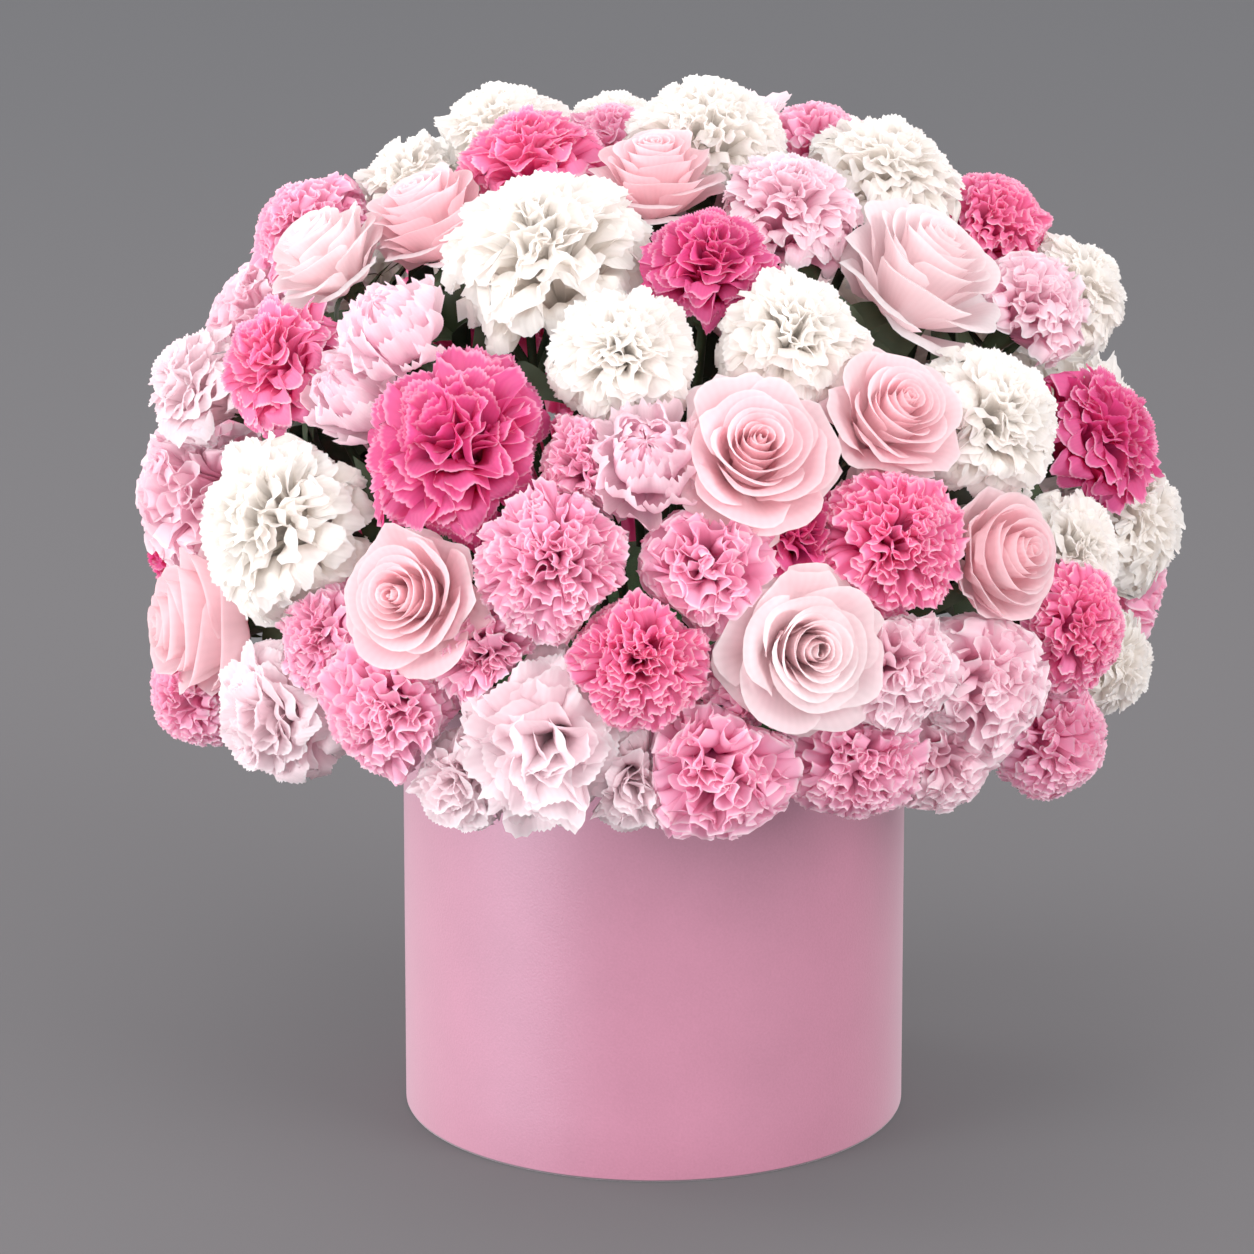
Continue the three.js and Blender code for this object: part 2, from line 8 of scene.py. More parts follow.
import bpy
import numpy as np
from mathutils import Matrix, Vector


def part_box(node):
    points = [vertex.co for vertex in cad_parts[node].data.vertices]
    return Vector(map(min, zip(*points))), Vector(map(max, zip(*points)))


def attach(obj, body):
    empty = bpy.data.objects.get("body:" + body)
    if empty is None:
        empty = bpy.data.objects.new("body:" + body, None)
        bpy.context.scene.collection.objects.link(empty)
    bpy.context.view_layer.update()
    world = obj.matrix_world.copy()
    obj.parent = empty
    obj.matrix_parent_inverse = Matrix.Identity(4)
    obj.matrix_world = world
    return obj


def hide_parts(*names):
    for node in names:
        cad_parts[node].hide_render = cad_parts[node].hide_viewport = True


MM = 0.001

# The photograph's view, from a camera fitted to the box.
VIEW_ELEVATION = math.radians(17.15)
VIEW_DISTANCE = 3.4
VIEW_AIM = Vector((-11.9 * MM, 0, 217 * MM))
VIEW_PIXELS = 1254
VIEW_MM_PER_PIXEL = 0.4368
SENSOR = 36.0

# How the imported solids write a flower. The calyx's measures are in its head's radius.
STEM_RADIUS = 2.2 * MM
RING_CORNERS = 4
SAME_LENGTH = 0.01 * MM  # how little the edges of a stem's ring differ
LONGEST_STEP = 8 * MM  # the furthest that a calyx's foot is from the middle of its stem's end
CALYX_LENGTH = 0.5
CALYX_DROP = 0.5  # from the head's centre back to the calyx's mouth

# The foam and the dome of flowers over it.
FOAM_SHOULDER = 205 * MM
DOME_CENTRE_Z = 255 * MM
DOME_SIZE = np.array((224, 224, 197)) * MM  # half its width and depth, and its rise

# How neighbouring heads press each other. Reach, spread and room are shares of the head's own size.
FULLEST_REACH = 1.1
MOST_SPREAD = 1.16  # a petal with room spreads this far, and goes back to its own size where there is more
SPREAD_FADE = 0.4
OPEN_ROOM = 10.0
NEIGHBOUR_REACH = 1.3
INTERLEAVE = 2.5 * MM  # how far petals of touching heads reach past the plane between them
UNEVENNESS = 3.0 * MM  # and how much that differs from petal to petal
PETAL_PHASE = 2.4
FACING_WAVES = 9

FLOWER_KINDS = ("carnation", "rose", "peony")
GOLDEN_TURN = math.pi * (3 - math.sqrt(5))


def linear(code):
    """A #rrggbb colour as linear light."""
    parts = [int(code[i : i + 2], 16) / 255 for i in (1, 3, 5)]
    return [c / 12.92 if c <= 0.04045 else ((c + 0.055) / 1.055) ** 2.4 for c in parts] + [1.0]


class Wire:
    """One output of a node. Arithmetic on it adds nodes to the same tree."""

    def __init__(self, tree, socket):
        self.tree = tree
        self.socket = socket

    @property
    def is_vector(self):
        return self.socket.type in ("VECTOR", "RGBA")

    def math(self, operation, *others):
        is_vector = self.is_vector or any(isinstance(o, Wire) and o.is_vector for o in others)
        kind = "ShaderNodeVectorMath" if is_vector else "ShaderNodeMath"
        return self.tree.node(kind, dict(enumerate((self, *others))), operation=operation)

    def __add__(self, other):
        return self.math("ADD", other)

    def __radd__(self, other):
        return self.math("ADD", other)

    def __sub__(self, other):
        return self.math("SUBTRACT", other)

    def __rsub__(self, other):
        return (self * -1.0) + other

    def __mul__(self, other):
        return self.math("MULTIPLY", other)

    def __rmul__(self, other):
        return self.math("MULTIPLY", other)

    def __truediv__(self, other):
        return self.math("DIVIDE", other)

    def __pow__(self, other):
        return self.math("POWER", other)

    def sin(self):
        return self.math("SINE")

    def cos(self):
        return self.math("COSINE")

    def arccos(self):
        return self.math("ARCCOSINE")

    def size(self):
        return self.math("ABSOLUTE")

    def least(self, other):
        return self.math("MINIMUM", other)

    def most(self, other):
        return self.math("MAXIMUM", other)

    def modulo(self, other):
        return self.math("MODULO", other)

    def ramp(self, low, high, start=0.0, end=1.0):
        """Goes smoothly from start to end while this value goes from low to high."""
        values = {"Value": self, "From Min": low, "From Max": high, "To Min": start, "To Max": end}
        return self.tree.node("ShaderNodeMapRange", values, interpolation_type="SMOOTHSTEP")


class Tree:
    """A node tree with short ways to add nodes."""

    def __init__(self, tree):
        self.tree = tree
        self.tree.nodes.clear()

    def node(self, kind, values=None, out=0, **settings):
        node = self.tree.nodes.new(kind)
        for name, value in settings.items():
            setattr(node, name, value)
        for key, value in (values or {}).items():
            socket = node.inputs[key]
            if isinstance(key, str) and not socket.enabled:
                socket = next(s for s in node.inputs if s.name == key and s.enabled)
            if isinstance(value, Wire):
                self.tree.links.new(value.socket, socket)
            elif socket.type == "VECTOR" and isinstance(value, (int, float)):
                socket.default_value = (value,) * 3
            else:
                socket.default_value = value
        outputs = [s for s in node.outputs if s.enabled]
        return Wire(self, node.outputs[out] if isinstance(out, str) else outputs[out])

    def vector(self, x, y, z):
        return self.node("ShaderNodeCombineXYZ", {"X": x, "Y": y, "Z": z})

    def blend(self, share, first, second):
        """first where share is 0, second where it is 1. Both are colours."""
        node = self.tree.nodes.new("ShaderNodeMix")
        node.data_type = "RGBA"
        for socket, value in ((node.inputs[0], share), (node.inputs[6], first), (node.inputs[7], second)):
            if isinstance(value, Wire):
                self.tree.links.new(value.socket, socket)
            else:
                socket.default_value = value
        return Wire(self, node.outputs[2])

    def output(self, kind, key, wire):
        node = self.tree.nodes.new(kind)
        self.tree.links.new(wire.socket, node.inputs[key])


class ShapeTree(Tree):
    """A Geometry Nodes tree, whose named inputs are set by their identifiers."""

    def __init__(self, name, inputs):
        super().__init__(bpy.data.node_groups.new(name, "GeometryNodeTree"))
        face = self.tree.interface
        face.new_socket("Geometry", in_out="INPUT", socket_type="NodeSocketGeometry")
        face.new_socket("Geometry", in_out="OUTPUT", socket_type="NodeSocketGeometry")
        self.identifiers = {}
        for label, kind in inputs.items():
            made = face.new_socket(label, in_out="INPUT", socket_type=f"NodeSocket{kind}")
            self.identifiers[label] = made.identifier
        self.source = self.tree.nodes.new("NodeGroupInput")

    def input(self, label):
        return Wire(self, self.source.outputs[label])

    def stored(self, label, kind="FLOAT"):
        return self.node("GeometryNodeInputNamedAttribute", {"Name": label}, data_type=kind)

    def store(self, shape, label, value, kind="FLOAT", domain="POINT"):
        values = {"Geometry": shape, "Name": label, "Value": value}
        return self.node("GeometryNodeStoreNamedAttribute", values, data_type=kind, domain=domain)

    def chance(self, seed, low=-1.0, high=1.0):
        """A random number that is the same all over one petal."""
        values = {"Min": low, "Max": high, "ID": self.stored("petal_id", "INT"), "Seed": seed}
        return self.node("FunctionNodeRandomValue", values, data_type="FLOAT")

    def on_points(self, points, instance):
        made = self.node("GeometryNodeInstanceOnPoints", {"Points": points, "Instance": instance})
        return self.node("GeometryNodeRealizeInstances", {"Geometry": made})

    def finish(self, shape):
        smooth = self.node("GeometryNodeSetShadeSmooth", {"Geometry": shape})
        values = {"Geometry": smooth, "Material": self.input("Material")}
        self.output("NodeGroupOutput", "Geometry", self.node("GeometryNodeSetMaterial", values))


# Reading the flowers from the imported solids


class Head:
    """One bloom's place: its centre, the direction that it faces, its radius and its calyx's foot."""

    def __init__(self, centre, axis, radius):
        self.centre = centre
        self.axis = axis
        self.radius = radius
        self.foot = centre - axis * radius
        self.neighbours = []


class Flower:
    """A cut flower or spray: its heads, and its stem's foot and fork. A single flower has no fork."""

    def __init__(self, name, heads, foot, fork):
        self.name = name
        self.kind, self.colour = name.split("_")[:2]
        self.number = name[-2:]
        self.heads = heads
        self.foot = foot
        self.fork = fork


def points_of(mesh):
    places = np.zeros(len(mesh.vertices) * 3)
    mesh.vertices.foreach_get("co", places)
    return places.reshape(-1, 3)


def merged_mesh(node):
    """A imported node's corners, and for each corner the set of its neighbours."""
    mesh = node.data
    corners, which = np.unique(points_of(mesh).round(7), axis=0, return_inverse=True)
    which = which.ravel()
    around = [set() for _ in corners]
    for face in mesh.polygons:
        ids = [which[v] for v in face.vertices]
        for a, b in zip(ids, ids[1:] + ids[:1]):
            around[a].add(b)
            around[b].add(a)
    return corners, around


def stem_rings(corners, around):
    """The square rings of a stem's own width, as sets of four corners."""
    edge = STEM_RADIUS * math.sqrt(2)
    rings = []
    seen = set()
    for start in range(len(corners)):
        ring, front = {start}, [start]
        while front:
            at = front.pop()
            for other in around[at] - ring:
                if abs(np.linalg.norm(corners[at] - corners[other]) - edge) < SAME_LENGTH:
                    ring.add(other)
                    front.append(other)
        if len(ring) == RING_CORNERS and start not in seen:
            rings.append(ring)
        seen |= ring
    return rings


def beyond(around, ring, known):
    """The corners next to a ring's that aren't known yet."""
    return set().union(*(around[corner] for corner in ring)) - known


def read_flower(name, node):
    """Finds each head by the calyx on its stem's end. A stem's end with no calyx is its foot or its fork."""
    corners, around = merged_mesh(node)

    def middle(ring):
        return corners[sorted(ring)].mean(axis=0)

    heads, roots, ends = [], [], []
    for ring in stem_rings(corners, around):
        top = middle(ring)
        steps = {c: np.linalg.norm(corners[c] - top) for c in beyond(around, ring, ring)}
        calyx_foot = {c for c, step in steps.items() if step < LONGEST_STEP}
        if len(calyx_foot) != RING_CORNERS:
            ends.append(top)
            continue
        calyx_top = beyond(around, calyx_foot, ring | calyx_foot)
        length = middle(calyx_top) - middle(calyx_foot)
        radius = np.linalg.norm(length) / CALYX_LENGTH
        axis = length / np.linalg.norm(length)
        heads.append(Head(middle(calyx_top) + CALYX_DROP * radius * axis, axis, radius))
        roots.append(middle(beyond(around, ring, ring | calyx_foot)))
    foot = min(ends, key=lambda end: end[2])
    fork = np.mean(roots, axis=0) if len(heads) > 1 else None
    return Flower(name, heads, foot, fork)


def find_neighbours(heads):
    """For each head, the planes that part it from the heads around it."""
    for head in heads:
        for other in heads:
            way = other.centre - head.centre
            distance = np.linalg.norm(way)
            if other is head or distance > NEIGHBOUR_REACH * (head.radius + other.radius):
                continue
            shift = (head.radius**2 - other.radius**2) / (2 * distance)
            head.neighbours.append((way / distance, distance / 2 + shift + INTERLEAVE))


def press(head, points, petals):
    """Points of a loose head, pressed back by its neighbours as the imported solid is."""
    offsets = points - head.centre
    ways = offsets / np.maximum(np.linalg.norm(offsets, axis=1), 1e-9)[:, None]
    room = np.full(len(points), OPEN_ROOM)
    for way, plane in head.neighbours:
        facing = ways @ way
        uneven = UNEVENNESS * np.sin(petals * PETAL_PHASE + facing * FACING_WAVES)
        reach = (plane + uneven) / np.maximum(facing, 1e-6) / (head.radius * FULLEST_REACH)
        room = np.where(facing > 0, np.minimum(room, reach), room)
    spread = np.maximum(1, MOST_SPREAD - SPREAD_FADE * (room - MOST_SPREAD))
    share = np.where(room <= MOST_SPREAD, room, spread)
    return head.centre + offsets * share[:, None]


# How the petals of each kind and colour stand, in the head's radius and in degrees

CARNATION = {
    "Petals": 66, "Columns": 26, "Rows": 3, "Lowest petal": 124.0, "Half width": 0.36, "Ruffle": 0.1,
    "Loop": 0.32, "Waves": 2.5, "Teeth": 0.012, "Inner bend": 8.0, "Outer bend": 60.0, "Twist": 80.0,
    "Claw": 0.3, "Drop": 0.1, "Uneven": 0.035,
}
POMPON = {
    **CARNATION, "Petals": 92, "Columns": 22, "Half width": 0.28, "Ruffle": 0.08, "Waves": 2.3,
    "Outer bend": 50.0, "Uneven": 0.02,
}
CURLY = {
    **CARNATION, "Petals": 44, "Half width": 0.48, "Ruffle": 0.13, "Loop": 0.4, "Waves": 2.3,
    "Teeth": 0.006,
}
FANS = {
    **CARNATION, "Petals": 130, "Columns": 16, "Half width": 0.2, "Ruffle": 0.035, "Loop": 0.0,
    "Waves": 1.2, "Teeth": 0.013, "Inner bend": 15.0, "Outer bend": 85.0, "Twist": 60.0,
    "Drop": 0.18, "Uneven": 0.06,
}
WAVY = {
    **CARNATION, "Petals": 150, "Columns": 12, "Half width": 0.19, "Ruffle": 0.045, "Loop": 0.15,
    "Waves": 1.4, "Teeth": 0.012, "Inner bend": 15.0, "Outer bend": 90.0, "Twist": 75.0,
    "Drop": 0.15, "Uneven": 0.05,
}
LOOSE = {
    **CARNATION, "Petals": 80, "Columns": 18, "Half width": 0.3, "Ruffle": 0.06, "Loop": 0.15,
    "Waves": 1.3, "Teeth": 0.014, "Inner bend": 15.0, "Outer bend": 90.0, "Twist": 60.0,
    "Drop": 0.2, "Uneven": 0.07,
}
ROSE = {
    "Petals": 30, "Columns": 14, "Rows": 10, "Lowest petal": 100.0, "Arc": 0.76, "Widest wrap": 2.5,
    "Inner end": -12.0, "Outer end": 64.0, "Curl": 95.0, "Wave": 0.02, "Notch": 0.0, "Teeth": 0.0,
    "Point": 0.12,
}
# A rose that is seen from its side: a round cup of fewer, broader petals.
CUP = {**ROSE, "Petals": 18, "Arc": 1.25, "Lowest petal": 92.0, "Outer end": 30.0, "Point": 0.04}
PEONY = {
    **ROSE, "Lowest petal": 92.0, "Arc": 0.4, "Widest wrap": 0.9, "Inner end": -75.0,
    "Outer end": 25.0, "Curl": -25.0, "Wave": 0.08, "Notch": 0.15, "Teeth": 0.045, "Point": 0.05,
}
STYLES = {
    "white": WAVY, "pale": LOOSE, "light": CURLY, "mid": CARNATION, "hot": POMPON, "deep": FANS,
    "rose": ROSE, "peony": PEONY,
}

# Flowers, by number, whose petals stand otherwise or are tinted otherwise than the rest of their colour.
EXCEPTIONS = {
    "04": POMPON, "13": WAVY, "29": CUP, "31": POMPON, "32": CURLY, "34": CUP, "42": CURLY,
}
TINTS = {"02": "hot", "13": "light", "23": "peony", "25": "peony", "26": "hot"}

MOST_DRAWS = 64  # random numbers that one tree may draw for a flower


class PetalTree(ShapeTree):
    """Sets sheets for petals on the heads, and turns points in a head's own space into places."""

    def __init__(self, name, inputs):
        counts = ("Petals", "Columns", "Rows")
        sockets = {label: "Int" if label in counts else "Float" for label in inputs}
        super().__init__(name, {**sockets, "Seed": "Int", "Material": "Material"})
        self.draws = 0
        petals = self.node("GeometryNodePoints", {"Count": self.input("Petals")})
        number = self.node("GeometryNodeInputIndex")
        petals = self.store(petals, "rank", (number + 0.5) / self.input("Petals"))
        petals = self.store(petals, "turn", number * GOLDEN_TURN)
        petals = self.on_points(self.input("Geometry"), petals)
        petals = self.store(petals, "petal_id", self.node("GeometryNodeInputIndex"), "INT")
        columns = self.input("Columns")
        rows = self.input("Rows")
        size = {"Size X": 2.0, "Size Y": 1.0, "Vertices X": columns + 1.0, "Vertices Y": rows + 1.0}
        sheet = self.node("GeometryNodeMeshGrid", size)
        place = self.node("GeometryNodeInputPosition")
        parts = self.node("ShaderNodeSeparateXYZ", {"Vector": place}, out="X")
        height = Wire(self, parts.socket.node.outputs["Y"])
        sheet = self.store(sheet, "across", parts)
        sheet = self.store(sheet, "along", height + 0.5)
        self.sheets = self.on_points(petals, sheet)
        self.across = self.stored("across")
        self.along = self.stored("along")
        self.rank = self.stored("rank")
        column = ((self.across + 1.0) * columns / 2.0).math("ROUND")
        self.tooth = column.modulo(2.0) * 2.0 - 1.0

    def degrees(self, label):
        return self.input(label) * math.radians(1)

    def varied(self, low=-1.0, high=1.0):
        """A number that differs from petal to petal, and another at each call."""
        self.draws += 1
        return self.chance(self.input("Seed") * MOST_DRAWS + self.draws, low, high)

    def close(self, local):
        """Places the points, given in the head's own space, and writes the maps for the materials."""
        parts = self.node("ShaderNodeSeparateXYZ", {"Vector": local}, out="X")
        x, y, z = (Wire(self, parts.socket.node.outputs[k]) for k in "XYZ")
        axis = self.stored("axis", "FLOAT_VECTOR")
        side = self.stored("side", "FLOAT_VECTOR")
        place = side * x + axis.math("CROSS_PRODUCT", side) * y + axis * z
        place = self.stored("centre", "FLOAT_VECTOR") + place * self.stored("head_radius")
        shape = self.node("GeometryNodeSetPosition", {"Geometry": self.sheets, "Position": place})
        maps = {"petal": (self.across * 0.5 + 0.5, self.along), "bloom": (self.varied(0.0), self.rank)}
        for label, (first, second) in maps.items():
            shape = self.store(shape, label, self.vector(first, second, 0.0), "FLOAT2", "CORNER")
        self.finish(shape)


def carnation_tree():
    """Fans on claws, whose rims wind in loops over the bloom's ball and are cut into fine teeth."""
    turn_scatter, lean_scatter, bend_scatter, cup_scatter = 0.3, 0.09, 0.2, 0.2
    heart_lean = 0.12
    usual_reach = 0.94
    base_drop, base_ring = 0.45, 0.1
    end_run = 0.55  # how far a petal points its own way before its tip
    outer_calm = 0.6  # how much less the outermost petals twist
    crowding, ruffle_start, onto_ball_start = 0.65, 1.6, 5
    fan_turn = 1.75
    cross_waves, cross_share = 1.63, 0.35
    side_drop = 0.4
    t = PetalTree("carnation_petals", CARNATION)
    up = t.vector(0.0, 0.0, 1.0)
    turn = t.stored("turn") + t.varied() * turn_scatter
    lean = (1.0 - t.rank * (1.0 - t.degrees("Lowest petal").cos())).arccos() - heart_lean
    lean = lean + t.varied() * lean_scatter
    out = t.vector(turn.cos(), turn.sin(), 0.0)
    side = t.vector(turn.sin() * -1.0, turn.cos(), 0.0)
    tip_way = out * lean.sin() + up * lean.cos()
    down_way = out * lean.cos() - up * lean.sin()
    bend = t.degrees("Inner bend") + (t.degrees("Outer bend") - t.degrees("Inner bend")) * t.rank
    bend = bend + t.varied() * bend_scatter
    end_way = tip_way * bend.cos() + down_way * bend.sin()
    reach = usual_reach + t.varied() * t.input("Uneven")
    tip = tip_way * reach
    base = up * -base_drop + out * base_ring
    handle = tip - end_way * end_run
    twist = t.degrees("Twist") * t.varied() * (1.0 - t.rank * outer_calm)
    along = t.along ** crowding
    v = along * (1.0 - t.input("Drop") * t.across ** 2)
    w = 1.0 - v
    spine = base * (w * w) + handle * (v * w * 2.0) + tip * (v * v)
    way = ((handle - base) * w + (tip - handle) * v).math("NORMALIZE")
    face = side.math("CROSS_PRODUCT", way)
    aside = side * twist.cos() + face * twist.sin()
    facing = face * twist.cos() - side * twist.sin()
    fan = t.input("Claw") + (1.0 - t.input("Claw")) * (along * fan_turn).sin()
    width = t.input("Half width") * fan
    phase = t.across * t.input("Waves") * math.pi + t.varied() * math.pi
    ruffle = t.input("Ruffle") * along ** ruffle_start
    fold = phase.sin() + (phase * cross_waves + t.varied() * math.pi).sin() * cross_share
    loop = (phase * 2.0).sin() * t.input("Loop")
    cup = t.across ** 2 * t.varied() * cup_scatter * along
    place = spine + aside * (t.across * width - loop * ruffle) + facing * (fold * ruffle + cup)
    rim = reach - t.across ** 2 * t.input("Drop") * side_drop + t.tooth * t.input("Teeth")
    onto_ball = (rim / place.math("LENGTH") - 1.0) * along ** onto_ball_start
    t.close(place * (onto_ball + 1.0))
    return t


def rose_tree():
    """Broad petals wrapped round the heart in a spiral, opening outwards, with rolled rims."""
    heart_lean, lean_power = math.radians(4), 1.3
    turn_scatter, lean_scatter, reach_scatter = 0.2, 0.04, 0.02
    inner_reach, outer_gain = 0.78, 0.14
    base_ring, base_drop, low_drop = 0.05, 0.48, 0.42
    low_ring, low_share = 0.1, 0.3
    end_run = 0.42  # how far a petal points its own way before its rim
    crowding = 1.3
    notch_narrow, tooth_start, side_drop = 40.0, 6, 0.2
    lip_start = 0.87  # how far along a petal its lip starts to roll
    inner_roll, side_roll, corner_roll = 0.1, 0.4, 1.1
    rim_waves = 1.6
    lap, corner_flare = 0.07, 0.05
    t = PetalTree("rose_petals", ROSE)
    lean = heart_lean + t.degrees("Lowest petal") * t.rank ** lean_power + t.varied() * lean_scatter
    reach = inner_reach + t.rank * outer_gain + t.varied() * reach_scatter
    rim_out = lean.sin() * reach
    rim_up = lean.cos() * reach
    end = t.degrees("Inner end") + t.rank * (t.degrees("Outer end") - t.degrees("Inner end"))
    end_out, end_up = end.sin(), end.cos()
    handle_out = rim_out * low_share + low_ring
    belly_out = rim_out - end_out * end_run
    belly_up = rim_up - end_up * end_run
    along = 1.0 - (1.0 - t.along) ** crowding
    notch = (t.across ** 2 * -notch_narrow).math("EXPONENT") * t.input("Notch")
    tooth = t.tooth * t.input("Teeth") * along ** tooth_start
    point = t.input("Point") * t.rank * (1.0 - t.across.size())
    v = along * (1.0 - t.across ** 4 * side_drop + point - notch + tooth)
    p = (v / lip_start).least(1.0)
    q = 1.0 - p
    near_base, near_handle, near_belly, near_rim = q ** 3, q * q * p * 3.0, q * p * p * 3.0, p ** 3
    ring = near_base * base_ring + handle_out * near_handle + belly_out * near_belly + rim_out * near_rim
    rise = near_base * -base_drop + near_handle * -low_drop + belly_up * near_belly + rim_up * near_rim
    lip = (v - lip_start).most(0.0)
    roll = (inner_roll + t.rank * (1.0 - inner_roll)) * (side_roll + t.across ** 2 * corner_roll)
    curl = t.degrees("Curl") * roll * (lip / (1 - lip_start)) + 0.001  # never 0, because it divides
    ahead = lip * curl.sin() / curl
    back = lip * (1.0 - curl.cos()) / curl
    wave = (t.across * math.pi * rim_waves + t.varied() * math.pi).sin() * t.input("Wave") * along ** 2
    ring = ring + end_out * ahead + end_up * (back + wave)
    rise = rise + end_up * ahead - end_out * (back + wave)
    ring = ring * (1.0 + t.across * lap + t.across ** 2 * t.rank * corner_flare)
    wrap = (t.input("Arc") / (rim_out + 0.02)).least(t.input("Widest wrap"))
    narrow = 0.5 + 0.5 * along.ramp(0.0, 0.6)
    turn = t.stored("turn") + t.varied() * turn_scatter + t.across * wrap * narrow
    t.close(t.vector(turn.cos() * ring, turn.sin() * ring, rise))
    return t


CALYX = {"Petals": 1, "Columns": 20, "Rows": 4}


def calyx_tree():
    """A green tube under the petals, with five teeth at its mouth."""
    foot_height, length, tooth_length = -1.0, 0.52, 0.1
    narrow, swell, swell_turn, lip, lip_start = 0.11, 0.1, 1.7, 0.03, 6
    t = PetalTree("calyx", CALYX)
    turn = t.across * math.pi
    teeth = (turn * 2.5).sin().size()
    height = t.along * (length + teeth * tooth_length) + foot_height
    ring = narrow + swell * (t.along * swell_turn).sin() + t.along ** lip_start * lip
    t.close(t.vector(turn.cos() * ring, turn.sin() * ring, height))
    return t


BLADE = {
    "Petals": 1, "Columns": 6, "Rows": 8, "Width": 0.14, "Bend": 35.0, "Fold": 0.35, "Lean": 0.0,
    "Teeth": 0.0,
}


def blade_tree():
    """Pointed blades, folded along the midrib and bent back: leaves, and the sepals of a rose."""
    turn_scatter, lean_scatter, bend_scatter = 0.3, 0.15, 0.4
    widest_early = 0.8
    t = PetalTree("blades", BLADE)
    up = t.vector(0.0, 0.0, 1.0)
    turn = t.stored("turn") + t.varied() * turn_scatter
    out = t.vector(turn.cos(), turn.sin(), 0.0)
    side = t.vector(turn.sin() * -1.0, turn.cos(), 0.0)
    lean = t.degrees("Lean") + t.varied() * lean_scatter
    bend = lean + t.degrees("Bend") * t.along * (1.0 + t.varied() * bend_scatter)
    spine = (out * bend.sin() + up * bend.cos()) * t.along
    shape = (t.along ** widest_early * math.pi).sin()
    width = t.input("Width") * shape * (1.0 + t.tooth * t.input("Teeth"))
    fold = out * bend.cos() - up * bend.sin()
    t.close(spine + side * (t.across * width) - fold * (t.across.size() * width * t.input("Fold")))
    return t


def stem_tree():
    """Round stems along edges, which drift a little from the straight."""
    bends, drift_scale, most_drift, sides = 4, 14.0, 5 * MM, 8
    t = ShapeTree("stems", {"Radius": "Float", "Material": "Material"})
    line = t.node("GeometryNodeMeshToCurve", {"Mesh": t.input("Geometry")})
    line = t.node("GeometryNodeSubdivideCurve", {"Curve": line, "Cuts": bends})
    drift = t.node("ShaderNodeTexNoise", {"Scale": drift_scale, "Detail": 1.0}, out="Color") - 0.5
    line = t.node("GeometryNodeSetPosition", {"Geometry": line, "Offset": drift * most_drift})
    ring = t.node("GeometryNodeCurvePrimitiveCircle", {"Resolution": sides, "Radius": t.input("Radius")})
    tube = t.node("GeometryNodeCurveToMesh", {"Curve": line, "Profile Curve": ring, "Fill Caps": True})
    t.finish(tube)
    return t


# Materials


class Paint(Tree):
    """A material's shader tree."""

    def __init__(self, name):
        self.material = bpy.data.materials.new(name)
        self.material.use_nodes = True
        super().__init__(self.material.node_tree)
        self.place = self.node("ShaderNodeTexCoord", out="Object")

    def uv(self, label):
        uv_map = self.node("ShaderNodeUVMap", uv_map=label)
        parts = self.node("ShaderNodeSeparateXYZ", {"Vector": uv_map}, out="X")
        return parts, Wire(self, parts.socket.node.outputs["Y"])

    def noise(self, scale, detail=3.0):
        values = {"Vector": self.place, "Scale": scale, "Detail": detail}
        return self.node("ShaderNodeTexNoise", values, out="Fac")

    def bump(self, height, strength, distance):
        return self.node("ShaderNodeBump", {"Height": height, "Strength": strength, "Distance": distance})

    def surface(self, values):
        return self.node("ShaderNodeBsdfPrincipled", values)

    def close(self, shader):
        self.output("ShaderNodeOutputMaterial", "Surface", shader)
        return self.material


# Each petal colour, from the claw to the thin rim, and what light through it looks like.
PETAL_COLOURS = {
    "white": {"claw": "#fff2e5", "blade": "#fef8f3", "rim": "#fffdfc", "through": "#fff9f3"},
    "pale": {"claw": "#fdccd6", "blade": "#fbe4ea", "rim": "#fff8fa", "through": "#fee2e9"},
    "light": {"claw": "#fc94ba", "blade": "#fdd8e4", "rim": "#fff8fb", "through": "#fecbdc"},
    "peony": {"claw": "#f58cb6", "blade": "#ffeaf0", "rim": "#fff8fb", "through": "#fed4e3"},
    "mid": {"claw": "#f866a4", "blade": "#fdacce", "rim": "#ffe2ee", "through": "#fe9fc6"},
    "hot": {"claw": "#e63279", "blade": "#fa74aa", "rim": "#fec3dc", "through": "#fc6ba6"},
    "deep": {"claw": "#b41050", "blade": "#de4485", "rim": "#f294bd", "through": "#ea327a"},
    "blush": {"claw": "#ffc8cd", "blade": "#ffeff1", "rim": "#fffbfb", "through": "#ffe4e7"},
    "salmon": {"claw": "#ffb6be", "blade": "#ffdee4", "rim": "#fff3f5", "through": "#ffd0d7"},
}
HEARTED = ("blush", "salmon", "peony")  # their heart is deeper than the outer petals


